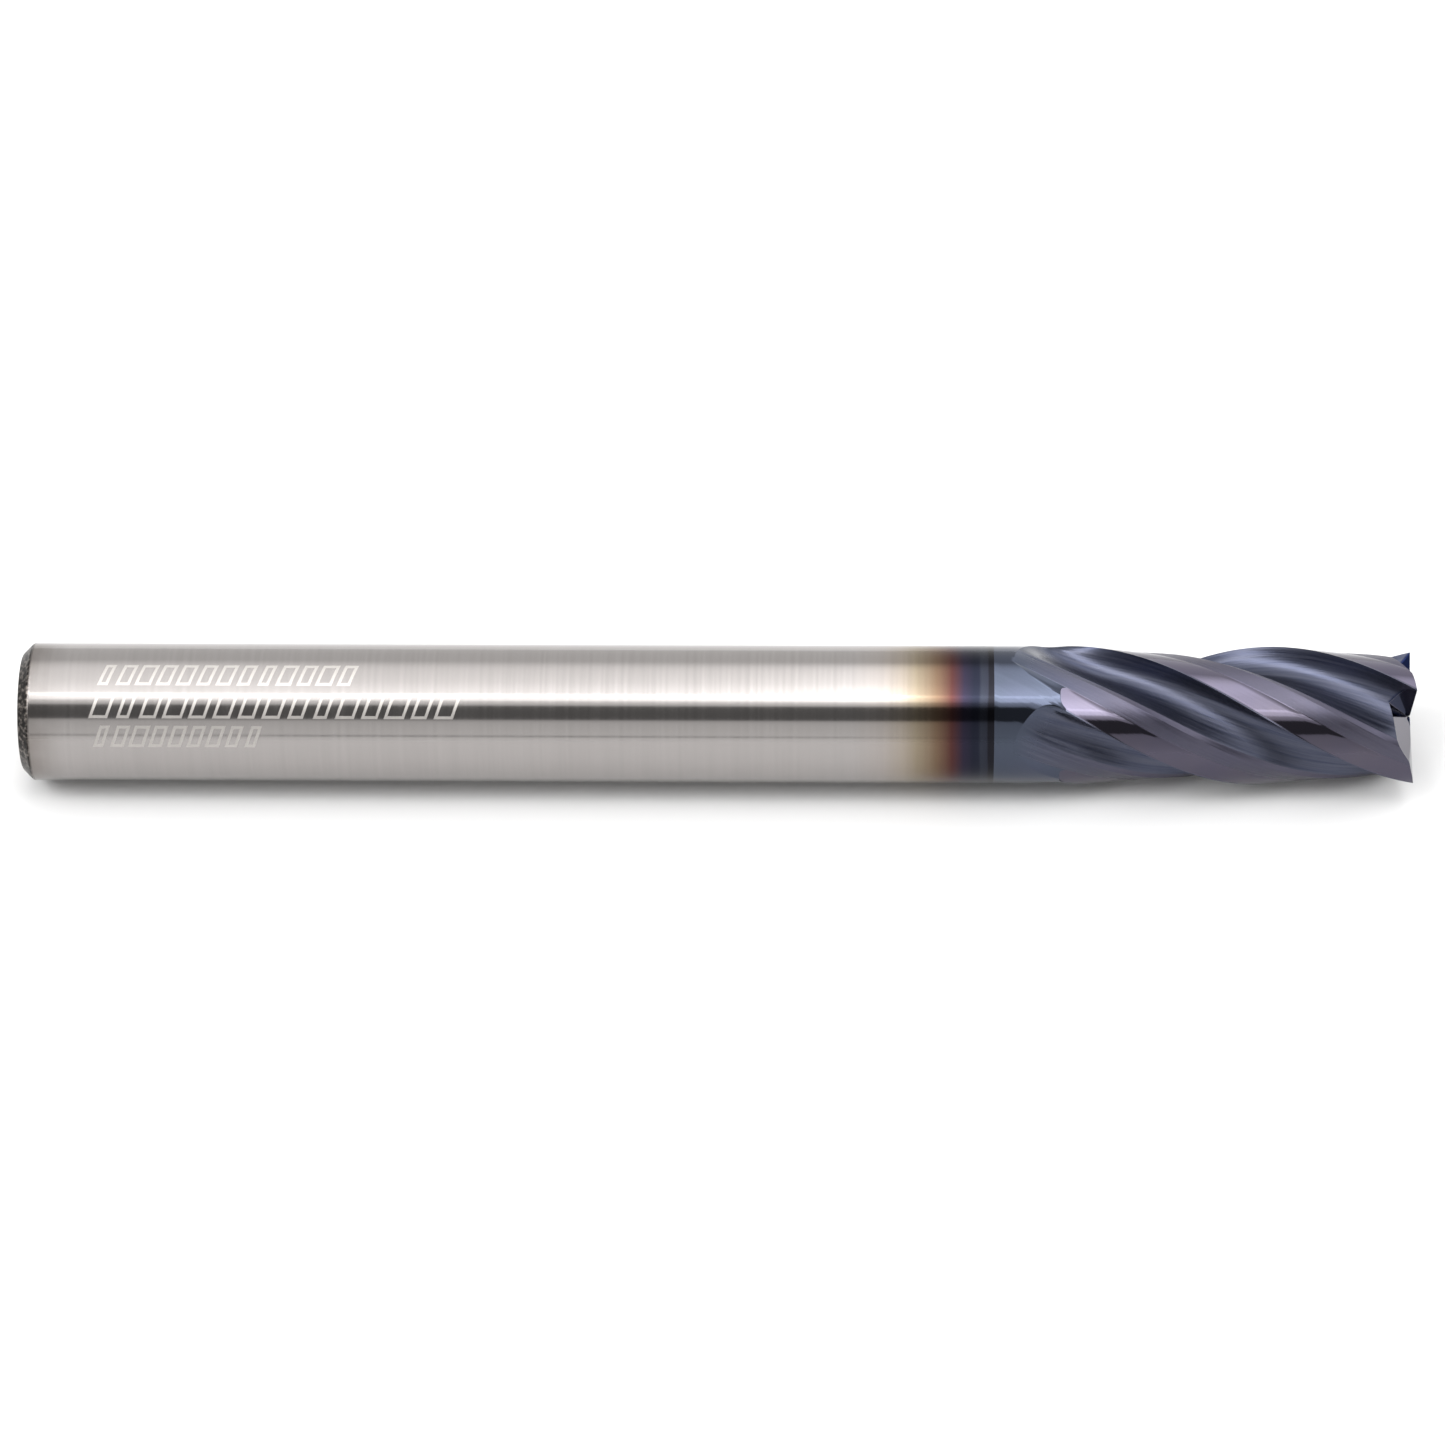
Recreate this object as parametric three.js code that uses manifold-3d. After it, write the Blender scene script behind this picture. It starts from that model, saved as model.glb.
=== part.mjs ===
// A four-flute square end mill, ground from one solid-carbide blank and coated on its cutting end.
// It lies on its side along X: shank towards -X, teeth towards +X, the floor at z = 0.
// The meshes are the four ground zones of the one blank, and they meet face to face.

import * as THREE from "three";
import { mergeVertices } from "three/addons/utils/BufferGeometryUtils.js";
import Module from "manifold-3d";

// Driving dimensions, in millimetres and degrees.
const DIAMETER = 6.35;
const OVERALL_LENGTH = 64.0;
const COATED_LENGTH = 19.25; // from the tip to the edge of the coating
const FLUTED_LENGTH = 18.35; // from the tip to where the last flute has run out
const END_TEETH_LENGTH = 1.4; // the stretch at the tip that the end grinding reaches
const SHANK_CHAMFER = 0.5;
const HELIX_ANGLE = 30.3; // right-hand
const FIRST_EDGE_ANGLE = 21.2; // of one cutting edge at the tip, from +Y towards +Z
const TOOTH_SPACINGS = [90, 97, 90, 83]; // unequal, so that the cut doesn't chatter

// The section across the flutes. Angles count back from a cutting edge.
const RADIUS = DIAMETER / 2;
const RELIEF = { angle: 21.6, radius: 2.93 }; // where the primary relief ends
const HEEL = { angle: 38, radius: 2.855 }; // where the secondary relief ends
const FLUTE_BACK = { angle: 43, radius: 2.72 }; // where the rounded heel meets the flute
const RAKE_ANGLE = 8;
const RAKE_DEPTH = 0.7;
const FLUTE_PULL = 0.8; // how far each end of the flute's curve stays near its own tangent
const FLUTE_POINTS = 9;
const RUN_OUT_LENGTH = 6.5; // over which the flutes rise out of the blank

// The end grinding.
const DISH_ANGLE = 1.8;
const END_RELIEF_ANGLE = 9;
const GASH_ANGLE = 30; // of the gash's floor, from the end plane
const GASH_START = 0.25; // from the axis to where a gash begins
const GASH_LEAD = 0.05; // from the end edge's radial line ahead to the gash's wall
const GASH_OPENING = 50; // of the gash's sloping wall, from the rake face
const GASH_DEPTH = 1.6;

// How finely the round surfaces are faceted.
const ROUND_SEGMENTS = 96;
const TWIST_STEP = 0.6;

const SHANK_LENGTH = OVERALL_LENGTH - COATED_LENGTH;
const FLUTE_START = OVERALL_LENGTH - FLUTED_LENGTH;
const END_START = OVERALL_LENGTH - END_TEETH_LENGTH;
const BEYOND = DIAMETER; // cutters reach this far past what they cut

const wasm = await Module();
wasm.setup();

const radians = THREE.MathUtils.degToRad;
const turnPerLength = (2 * Math.tan(radians(HELIX_ANGLE))) / DIAMETER; // radians per millimetre of length

// A point of the cross-section. Its angle goes from +Y towards +Z once the section faces along +X.
function sectionPoint(radius, angle) {
  return new THREE.Vector2(-Math.sin(angle), Math.cos(angle)).multiplyScalar(radius);
}

// The outline of one tooth and the flute ahead of it, up to the next tooth's heel.
function toothOutline(edgeAngle, spacing) {
  const at = (corner, edge) => sectionPoint(corner.radius, radians(edge - corner.angle));
  const edge = sectionPoint(RADIUS, radians(edgeAngle));
  const inwards = sectionPoint(1, radians(edgeAngle + 180 - RAKE_ANGLE));
  const rakeFoot = edge.clone().addScaledVector(inwards, RAKE_DEPTH);
  const nextBack = at(FLUTE_BACK, edgeAngle + spacing);
  const alongBack = sectionPoint(1, radians(edgeAngle + 90));
  const flute = new THREE.CubicBezierCurve(
    rakeFoot,
    rakeFoot.clone().addScaledVector(inwards, FLUTE_PULL),
    nextBack.clone().addScaledVector(alongBack, -FLUTE_PULL),
    nextBack,
  );
  return [at(HEEL, edgeAngle), at(RELIEF, edgeAngle), edge, ...flute.getPoints(FLUTE_POINTS)];
}

// The angle of each cutting edge at the tip.
function edgeAngles() {
  const angles = [FIRST_EDGE_ANGLE];
  for (const spacing of TOOTH_SPACINGS.slice(0, -1)) angles.push(angles.at(-1) + spacing);
  return angles;
}

// The whole cross-section at the tip.
function flutedSection() {
  const points = edgeAngles().flatMap((angle, i) => toothOutline(angle, TOOTH_SPACINGS[i]));
  return new THREE.Shape(points);
}

// How much of the flutes' full depth is ground away at a place along the tool, from 0 to 1.
function flutedShare(x) {
  const left = THREE.MathUtils.clamp((FLUTE_START + RUN_OUT_LENGTH - x) / RUN_OUT_LENGTH, 0, 1);
  return 1 - left * left;
}

// A stretch of the fluted bar: the section extruded along X, twisted by the helix and run out at its back end.
function flutedBar(start, end) {
  const steps = Math.ceil((end - start) / TWIST_STEP);
  const bar = new THREE.ExtrudeGeometry(flutedSection(), {
    depth: end - start,
    steps,
    bevelEnabled: false,
  });
  bar.rotateY(Math.PI / 2).translate(start, 0, 0);
  const place = bar.attributes.position;
  for (let i = 0; i < place.count; i++) {
    const x = place.getX(i);
    const angle = Math.atan2(place.getZ(i), place.getY(i)) - turnPerLength * (OVERALL_LENGTH - x);
    const sectionRadius = Math.hypot(place.getY(i), place.getZ(i));
    const radius = RADIUS - (RADIUS - sectionRadius) * flutedShare(x);
    place.setXYZ(i, x, radius * Math.cos(angle), radius * Math.sin(angle));
  }
  return bar;
}

// A closed geometry as a solid that can be cut and joined.
function solidOf(geometry) {
  const bare = new THREE.BufferGeometry();
  bare.setAttribute("position", geometry.getAttribute("position"));
  bare.setIndex(geometry.index);
  const merged = mergeVertices(bare, 1e-4);
  return new wasm.Manifold(
    new wasm.Mesh({
      numProp: 3,
      vertProperties: new Float32Array(merged.attributes.position.array),
      triVerts: new Uint32Array(merged.index.array),
    }),
  );
}

// A solid back as a geometry.
function geometryOf(solid) {
  const mesh = solid.getMesh();
  const geometry = new THREE.BufferGeometry();
  geometry.setAttribute("position", new THREE.BufferAttribute(mesh.vertProperties, 3));
  geometry.setIndex(new THREE.BufferAttribute(mesh.triVerts, 1));
  geometry.computeVertexNormals();
  return geometry;
}

// What the wheel takes off behind one end edge: a sector of the end, tipped back by the relief and the dish.
function endReliefCutter(edgeAngle, spacing) {
  const sector = new THREE.Shape([
    new THREE.Vector2(0, 0),
    sectionPoint(BEYOND, 0),
    sectionPoint(BEYOND, radians(-spacing / 2)),
    sectionPoint(BEYOND, radians(-spacing)),
  ]);
  const cutter = new THREE.ExtrudeGeometry(sector, { depth: BEYOND, bevelEnabled: false });
  cutter.rotateY(Math.PI / 2);
  cutter.rotateY(radians(END_RELIEF_ANGLE)).rotateZ(-radians(DISH_ANGLE));
  const edgeDrop = RADIUS * Math.sin(radians(DISH_ANGLE));
  return cutter.translate(OVERALL_LENGTH - edgeDrop, 0, 0).rotateX(radians(edgeAngle));
}

// The gash ahead of one end edge: a notch with one wall on the rake face, deeper as it goes outwards.
function gashCutter(edgeAngle) {
  const slope = Math.tan(radians(GASH_OPENING));
  const notch = new THREE.Shape([
    new THREE.Vector2(0, -GASH_DEPTH),
    new THREE.Vector2(0, GASH_DEPTH),
    new THREE.Vector2(2 * GASH_DEPTH * slope, GASH_DEPTH),
  ]);
  const cutter = new THREE.ExtrudeGeometry(notch, { depth: BEYOND, bevelEnabled: false });
  // The notch opens towards +X, runs outwards along Y and slopes ahead towards +Z.
  const turned = new THREE.Matrix4().makeBasis(
    new THREE.Vector3(0, 0, 1),
    new THREE.Vector3(1, 0, 0),
    new THREE.Vector3(0, 1, 0),
  );
  cutter.applyMatrix4(turned);
  cutter.translate(GASH_DEPTH, 0, 0).rotateZ(radians(GASH_ANGLE));
  return cutter.translate(OVERALL_LENGTH, GASH_START, GASH_LEAD).rotateX(radians(edgeAngle));
}

function coated(name, geometry) {
  const material = new THREE.MeshStandardMaterial({ color: 0x5a5b73, roughness: 0.3, metalness: 0.9 });
  const mesh = new THREE.Mesh(geometry, material);
  mesh.name = name;
  return mesh;
}

// The bare ground shank, with the chamfer round its back end.
function makeShank() {
  const profile = [
    new THREE.Vector2(0, 0),
    new THREE.Vector2(RADIUS - SHANK_CHAMFER, 0),
    new THREE.Vector2(RADIUS, SHANK_CHAMFER),
    new THREE.Vector2(RADIUS, SHANK_LENGTH),
    new THREE.Vector2(0, SHANK_LENGTH),
  ];
  const shank = new THREE.LatheGeometry(profile, ROUND_SEGMENTS).rotateZ(-Math.PI / 2);
  const material = new THREE.MeshStandardMaterial({ color: 0xb4aeab, roughness: 0.25, metalness: 1.0 });
  const mesh = new THREE.Mesh(shank, material);
  mesh.name = "shank";
  return mesh;
}

// The plain coated length between the shank and the flutes.
function makeNeck() {
  const length = FLUTE_START - SHANK_LENGTH;
  const neck = new THREE.CylinderGeometry(RADIUS, RADIUS, length, ROUND_SEGMENTS);
  neck.rotateZ(-Math.PI / 2).translate(SHANK_LENGTH + length / 2, 0, 0);
  return coated("neck", neck);
}

// The helical flutes and the teeth between them.
function makeFlutedBody() {
  return coated("fluted_body", flutedBar(FLUTE_START, END_START));
}

// The end teeth: the last of the fluted bar, relieved behind each end edge and gashed ahead of it.
function makeEndTeeth() {
  let end = solidOf(flutedBar(END_START, OVERALL_LENGTH));
  edgeAngles().forEach((angle, i) => {
    const behind = TOOTH_SPACINGS.at(i - 1);
    end = end.subtract(solidOf(endReliefCutter(angle, behind)));
    end = end.subtract(solidOf(gashCutter(angle)));
  });
  return coated("end_teeth", geometryOf(end));
}

const endMill = new THREE.Group();
endMill.add(makeShank(), makeNeck(), makeFlutedBody(), makeEndTeeth());
endMill.position.set(-OVERALL_LENGTH / 2, 0, RADIUS);

export default endMill;
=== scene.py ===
# %% [markdown]
# # A solid-carbide end mill
#
# An end mill is one bar of tungsten carbide, ground all over. Its shank is left bare and bright. Its
# cutting end has four helical flutes and gets a dark, hard coating a few micrometres thick. This lesson
# draws both surfaces as grids worked out with numpy, because every face on the tool is what a grinding
# wheel leaves: a short formula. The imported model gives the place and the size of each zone, so the script
# starts by loading it.

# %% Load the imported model
import math

import bpy
import numpy as np
from mathutils import Matrix, Vector


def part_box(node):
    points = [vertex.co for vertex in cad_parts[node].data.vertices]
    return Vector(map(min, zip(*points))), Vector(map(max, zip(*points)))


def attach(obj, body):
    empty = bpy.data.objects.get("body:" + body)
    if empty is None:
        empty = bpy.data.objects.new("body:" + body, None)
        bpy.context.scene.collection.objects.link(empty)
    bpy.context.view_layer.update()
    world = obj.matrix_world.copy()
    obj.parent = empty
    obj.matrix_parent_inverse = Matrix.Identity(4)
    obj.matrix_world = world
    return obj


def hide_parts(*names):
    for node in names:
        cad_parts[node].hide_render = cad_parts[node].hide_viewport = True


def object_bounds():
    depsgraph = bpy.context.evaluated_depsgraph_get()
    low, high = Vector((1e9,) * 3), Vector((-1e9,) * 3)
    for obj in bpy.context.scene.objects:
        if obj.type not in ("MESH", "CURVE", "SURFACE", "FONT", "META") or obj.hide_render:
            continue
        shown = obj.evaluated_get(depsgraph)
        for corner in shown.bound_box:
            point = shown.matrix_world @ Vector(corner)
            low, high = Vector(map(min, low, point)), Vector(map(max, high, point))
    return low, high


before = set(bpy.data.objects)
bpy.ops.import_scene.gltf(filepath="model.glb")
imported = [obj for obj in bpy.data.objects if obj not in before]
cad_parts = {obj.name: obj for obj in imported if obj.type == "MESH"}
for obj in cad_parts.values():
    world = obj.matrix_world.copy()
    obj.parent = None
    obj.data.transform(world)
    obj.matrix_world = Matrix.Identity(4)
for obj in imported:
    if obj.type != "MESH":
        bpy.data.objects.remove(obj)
cad_low, cad_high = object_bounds()
print("the tool's box in metres:", [round(side, 5) for side in cad_high - cad_low])

# %% [markdown]
# ## The tool's own measures
#
# All lengths below are in metres, so a small constant turns millimetres into them. The zones of the
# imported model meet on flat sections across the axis: the shank ends where the full coating begins, the
# neck ends where the flutes begin, and the end teeth finish at the tip.

# %% Read the zones
MM = 0.001
shank_low, shank_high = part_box("shank")
RADIUS = (shank_high.z - shank_low.z) / 2
AXIS_HEIGHT = (shank_high.z + shank_low.z) / 2
SHANK_BACK = shank_low.x
COATING_EDGE = shank_high.x
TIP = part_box("end_teeth")[1].x
print(f"radius {RADIUS / MM:.3f} mm, coating edge {(TIP - COATING_EDGE) / MM:.2f} mm behind the tip")

# %% [markdown]
# ## The camera
#
# A long lens stands about 0.3 m away and looks down at the tool from 47 degrees above the bench, a little
# towards the coated end. It aims just below the tool's axis, so the tool lies across the middle of a
# square picture. The picture is turned by a fraction of a degree, as happens with a tripod set by hand.

# %% Place the camera
CAMERA_DISTANCE = 0.300
CAMERA_ELEVATION = math.radians(47)
CAMERA_ALONG = 7.1 * MM  # the camera stands this far towards the tip from the tool's middle
PICTURE_WIDTH = 66.62 * MM  # what the picture spans at the tool
PICTURE_TILT = math.radians(0.2)
AIM = (0.28 * MM, -0.40 * MM)  # along the tool, and up in the picture, from the tool's middle
SENSOR_WIDTH = 36.0

towards_camera = Vector((0, -math.cos(CAMERA_ELEVATION), math.sin(CAMERA_ELEVATION)))
picture_up = Vector((0, math.sin(CAMERA_ELEVATION), math.cos(CAMERA_ELEVATION)))
tool_middle = Vector(((cad_low.x + cad_high.x) / 2, 0, AXIS_HEIGHT))
camera_place = tool_middle + towards_camera * CAMERA_DISTANCE + Vector((CAMERA_ALONG, 0, 0))
target = tool_middle + Vector((AIM[0], 0, 0)) + picture_up * AIM[1]

backwards = (camera_place - target).normalized()
level = (Vector((1, 0, 0)) - backwards * backwards.x).normalized()
upright = backwards.cross(level)
right = level * math.cos(PICTURE_TILT) + upright * math.sin(PICTURE_TILT)
up = backwards.cross(right)

camera_data = bpy.data.cameras.new("camera")
camera_data.sensor_width = SENSOR_WIDTH
camera_data.lens = SENSOR_WIDTH * CAMERA_DISTANCE / PICTURE_WIDTH
camera = bpy.data.objects.new("camera", camera_data)
turn = Matrix((right, up, backwards)).transposed().to_4x4()
camera.matrix_world = Matrix.Translation(camera_place) @ turn
bpy.context.scene.collection.objects.link(camera)
bpy.context.scene.camera = camera
print(f"lens {camera_data.lens:.0f} mm")

# %% [markdown]
# ## A mesh from a grid
#
# Both surfaces of the tool are closed skins made the same way: rows of points that go once round the
# axis, with one point at each end of the axis to close them. One function turns such rows into a mesh. A
# second lays a flat map over the surface, with the distance round the tool and the distance along it in
# millimetres, which the finishes use later. A third stores a number at every point, such as how far the
# point is inside a flute.

# %% Turn rows of points into a closed mesh
CRISP_ANGLE = math.radians(9)  # faces that meet at more than this keep a crisp edge between them


def closed_skin(name, rows, first_pole, last_pole):
    """A skin through rows[row, column] = (x, y, z) that closes round each row and onto a pole at each
    end."""
    row_count, column_count = rows.shape[:2]
    points = np.vstack([rows.reshape(-1, 3), [first_pole, last_pole]])
    here = np.arange(row_count * column_count).reshape(row_count, column_count)
    beside = np.roll(here, -1, axis=1)
    quads = np.stack([here[:-1], beside[:-1], beside[1:], here[1:]], axis=-1).reshape(-1, 4)
    first, last = row_count * column_count, row_count * column_count + 1
    first_fan = np.stack([np.full(column_count, first), beside[0], here[0]], axis=-1)
    last_fan = np.stack([np.full(column_count, last), here[-1], beside[-1]], axis=-1)
    mesh = bpy.data.meshes.new(name)
    mesh.from_pydata(points.tolist(), [], quads.tolist() + first_fan.tolist() + last_fan.tolist())
    mesh.shade_smooth()
    mesh.set_sharp_from_angle(angle=CRISP_ANGLE)
    piece = bpy.data.objects.new(name, mesh)
    bpy.context.scene.collection.objects.link(piece)
    print(f"{name}: {len(mesh.polygons)} faces")
    return piece


def lay_flat_map(piece, around, along):
    """Gives each corner of a closed skin its place on a flat map, in millimetres. Both arrays have a
    column more than the skin, so that the faces that close the ring end at the full distance round, not
    back at nought."""
    flat = np.stack([around, along], axis=-1) / MM
    corners = np.stack([flat[:-1, :-1], flat[:-1, 1:], flat[1:, 1:], flat[1:, :-1]], axis=2)
    first_fan = np.stack([flat[0, :-1], flat[0, 1:], flat[0, :-1]], axis=1).reshape(-1, 2)
    last_fan = np.stack([flat[-1, :-1], flat[-1, :-1], flat[-1, 1:]], axis=1).reshape(-1, 2)
    flat_map = piece.data.uv_layers.new(name="millimetres")
    flat_map.data.foreach_set("uv", np.vstack([corners.reshape(-1, 2), first_fan, last_fan]).ravel())


def set_point_value(piece, name, values):
    """Stores one number a point, which a material can read by its name."""
    mesh = piece.data
    padded = np.zeros(len(mesh.vertices))
    padded[: values.size] = values.ravel()
    mesh.attributes.new(name, "FLOAT", "POINT").data.foreach_set("value", padded)


# %% [markdown]
# ## The shank
#
# The shank is a centreless-ground cylinder with a chamfer round its back end. Blender's Screw modifier
# could turn it, but the profile is so short that it is written out as a row of places along the axis with
# a radius at each. The two edges of the chamfer are broken by a few hundredths of a millimetre, because a
# perfectly sharp edge catches no light.

# %% Draw the shank
SHANK_COLUMNS = 288
BARREL_ROWS = 45
CHAMFER = 0.5 * MM
BROKEN_EDGE = 0.05 * MM


def shank_profile():
    """Places along the axis and radii: across the back face, up the chamfer and along the barrel."""
    broken = BROKEN_EDGE * math.sin(math.radians(45))
    chamfer_foot = RADIUS - CHAMFER
    corners = [
        (0, chamfer_foot / 2),
        (0, chamfer_foot - BROKEN_EDGE),
        (broken, chamfer_foot + broken),
        (CHAMFER / 2, RADIUS - CHAMFER / 2),
        (CHAMFER - broken, RADIUS - broken),
        (CHAMFER + BROKEN_EDGE, RADIUS),
    ]
    barrel = np.linspace(CHAMFER + 4 * BROKEN_EDGE, COATING_EDGE - SHANK_BACK, BARREL_ROWS)
    along = np.concatenate([[place for place, _ in corners], barrel])
    radius = np.concatenate([[size for _, size in corners], np.full(barrel.size, RADIUS)])
    return SHANK_BACK + along, radius


def turned(along, radius, angle):
    """Points on circles about the tool's axis; the angle goes from +Y towards +Z."""
    return np.stack([
        along + 0 * angle,
        radius * np.cos(angle),
        AXIS_HEIGHT + radius * np.sin(angle),
    ], axis=-1)


def make_shank():
    along, radius = shank_profile()
    angle = np.linspace(0, 2 * math.pi, SHANK_COLUMNS, endpoint=False)
    rows = turned(along[:, None], radius[:, None], angle[None, :])
    back, front = (SHANK_BACK, 0, AXIS_HEIGHT), (COATING_EDGE, 0, AXIS_HEIGHT)
    shank = closed_skin("ground_shank", rows, back, front)
    around, along = np.meshgrid(RADIUS * np.append(angle, 2 * math.pi), along - SHANK_BACK)
    lay_flat_map(shank, around, along)
    return shank


shank = make_shank()

# %% [markdown]
# ## The section across the flutes
#
# Cut the tool across anywhere along the flutes and the outline repeats four times. From a cutting edge it
# goes down the rake face, round the bottom of the flute, up the back of the next tooth, and over that
# tooth's secondary and primary relief faces to its edge. The spacing of the teeth is unequal, which keeps
# the cut from humming. The outline of one tooth space is worked out as angles ahead of its cutting edge
# and radii, so that turning it along the helix is a sum.

# %% Work out the outline of a tooth space
HELIX_ANGLE = math.radians(30.3)
FIRST_EDGE = math.radians(21.2)  # at the tip, from +Y towards +Z
SPACINGS = np.radians([90, 97, 90, 83])
PRIMARY = (math.radians(21.6), 2.96 * MM)  # angle behind the edge and radius, where this relief ends
STEP_WIDTH = math.radians(0.9)  # a wheel leaves a fine step between the two reliefs
STEP_DEPTH = 0.02 * MM
STEP_FOOT = (PRIMARY[0] + STEP_WIDTH, PRIMARY[1] - STEP_DEPTH)
HEEL = (math.radians(38), 2.87 * MM)  # where the secondary relief ends
HEEL_ROUND = (math.radians(43), 2.72 * MM)  # where the rounded heel meets the flute
RAKE_ANGLE = math.radians(3.3)
RAKE_DEPTH = 0.45 * MM
FLUTE_PULLS = (1.44 * MM, 0.34 * MM)  # how far each end of the flute's curve stays near its own tangent
TURN_PER_LENGTH = math.tan(HELIX_ANGLE) / RADIUS
FACE_COLUMNS = {"rake": 12, "flute": 66, "heel": 6, "secondary": 10, "step": 1, "primary": 14}
WALL_COLUMNS = 35  # from the edge down to here the columns end in the flat wall of the gash
SPACE_COLUMNS = sum(FACE_COLUMNS.values())
FLUTE_COLUMNS = FACE_COLUMNS["rake"] + FACE_COLUMNS["flute"]
PRIMARY_COLUMNS = FACE_COLUMNS["primary"]
on_primary = np.arange(SPACE_COLUMNS) >= SPACE_COLUMNS - PRIMARY_COLUMNS


def line_between(start, end, count):
    """Angles and radii from start up to, but not on, end."""
    share = np.arange(count) / count
    return start[0] + (end[0] - start[0]) * share, start[1] + (end[1] - start[1]) * share


def rake_and_flute(spacing):
    """The rake face is a straight line, the flute a cubic curve that leaves along the rake face and comes
    up square to the edge's radius at the next tooth's heel. In the edge's own frame, outwards is x, ahead
    is y."""
    inwards = np.array([-math.cos(RAKE_ANGLE), -math.sin(RAKE_ANGLE)])
    edge = np.array([RADIUS, 0])
    foot = edge + inwards * RAKE_DEPTH
    heel_angle = spacing - HEEL_ROUND[0]
    heel = HEEL_ROUND[1] * np.array([math.cos(heel_angle), math.sin(heel_angle)])
    pulls = [foot, foot + inwards * FLUTE_PULLS[0], heel - np.array([0, FLUTE_PULLS[1]]), heel]
    share = (np.arange(FACE_COLUMNS["rake"]) / FACE_COLUMNS["rake"])[:, None]
    rake = edge + (foot - edge) * share
    t = (np.arange(FACE_COLUMNS["flute"]) / FACE_COLUMNS["flute"])[:, None]
    weights = [(1 - t) ** 3, 3 * t * (1 - t) ** 2, 3 * t**2 * (1 - t), t**3]
    flute = sum(weight * pull for weight, pull in zip(weights, pulls))
    points = np.vstack([rake, flute])
    return np.arctan2(points[:, 1], points[:, 0]), np.hypot(points[:, 0], points[:, 1])


print(f"{SPACE_COLUMNS} columns in a tooth space, {FLUTE_COLUMNS} of them in its flute")

# %% [markdown]
# ## One tooth space
#
# The flute's curve ends at the next tooth's heel. From there the outline goes over the rounded heel, the
# secondary relief, the fine step and the primary relief. These faces are so narrow that steps of equal
# angle and equal radius draw them well enough.

# %% Put the faces of a tooth space together
def tooth_space(spacing):
    """Angle ahead of the edge and radius for each column, from one cutting edge to just short of the
    next."""
    corners = [HEEL_ROUND, HEEL, STEP_FOOT, PRIMARY, (0, RADIUS)]
    corners = [(spacing - turn_back, radius) for turn_back, radius in corners]
    faces = [rake_and_flute(spacing)]
    for face, start, end in zip(["heel", "secondary", "step", "primary"], corners, corners[1:]):
        faces.append(line_between(start, end, FACE_COLUMNS[face]))
    angle, radius = (np.concatenate(parts) for parts in zip(*faces))
    return angle, radius


edges = FIRST_EDGE + np.concatenate([[0], np.cumsum(SPACINGS[:-1])])
spaces = [tooth_space(spacing) for spacing in SPACINGS]
print(f"core {2 * min(radius.min() for _, radius in spaces) / MM:.2f} mm across")

# %% [markdown]
# ## The secondary relief on its own
#
# At the back of each tooth there is a short stretch where the secondary relief has been ground and the
# primary relief has not. Its flat face simply runs on to the round of the bar there, so the outline of
# that stretch needs the same face carried on over the primary relief's place.

# %% Carry the secondary relief on
def secondary_alone(spacing, angle, radius):
    """The radius where only the secondary relief is ground: its flat face runs on over the place of the
    primary relief until it comes out of the round bar. A flat face at right angles to a direction is at
    radius distance / cos(angle from that direction)."""
    foot, heel = (
        size * np.array([math.cos(turn_back), -math.sin(turn_back)])
        for turn_back, size in (STEP_FOOT, HEEL)
    )
    along_face = (foot - heel) / np.linalg.norm(foot - heel)
    outwards = np.array([along_face[1], -along_face[0]])
    from_outwards = angle - spacing - math.atan2(outwards[1], outwards[0])
    flat = np.minimum(RADIUS, outwards @ foot / np.cos(from_outwards))
    return np.where(on_primary, flat, radius)


flat = secondary_alone(SPACINGS[0], *spaces[0])
print(f"beside the primary relief the flat is {(RADIUS - flat[-PRIMARY_COLUMNS]) / MM:.2f} mm deep")

# %% [markdown]
# ## Where each face begins
#
# The wheel that grinds a flute leaves the bar in a long curve, so each flute fades out at the back
# instead of ending in a wall. Its heel side starts furthest back and its rake side last, which draws the
# slanted arcs at the back of the flutes. The relief faces are ground with other wheels. The secondary
# relief is a flat that also runs over the place of the primary relief and fades out like the flute. The
# primary relief is ground into that flat, and starts in a fine step with rounded corners. One function
# gives each column its starting places, and an array gives the length over which it reaches its full
# depth.

# %% Work out where each column starts
EDGE_START = 47.75 * MM + SHANK_BACK
RUN_BACK = 1.9 * MM  # from where the rake face starts back to where the heel side starts
SECONDARY_START = 45.62 * MM + SHANK_BACK
ROUNDED_START = 0.25 * MM  # the corners of the primary relief start this much further on
FLUTE_RUN_OUT, RELIEF_RUN_OUT = 4.2 * MM, 3.0 * MM
PRIMARY_RUN_OUT = 0.015 * MM  # short, so the primary relief starts in a step
run_out = np.full(SPACE_COLUMNS, FLUTE_RUN_OUT)
run_out[FLUTE_COLUMNS : FLUTE_COLUMNS + FACE_COLUMNS["heel"]] = np.linspace(
    FLUTE_RUN_OUT, RELIEF_RUN_OUT, FACE_COLUMNS["heel"])
run_out[FLUTE_COLUMNS + FACE_COLUMNS["heel"] :] = RELIEF_RUN_OUT


def bar_angle(spacing, angle):
    """Where the columns lie on the round bar before any face is ground: the rake face and the flute,
    which curl under the edge further on, are spread evenly."""
    even = (spacing - HEEL_ROUND[0]) * np.arange(FLUTE_COLUMNS) / FLUTE_COLUMNS
    return np.append(even, angle[FLUTE_COLUMNS:])


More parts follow.
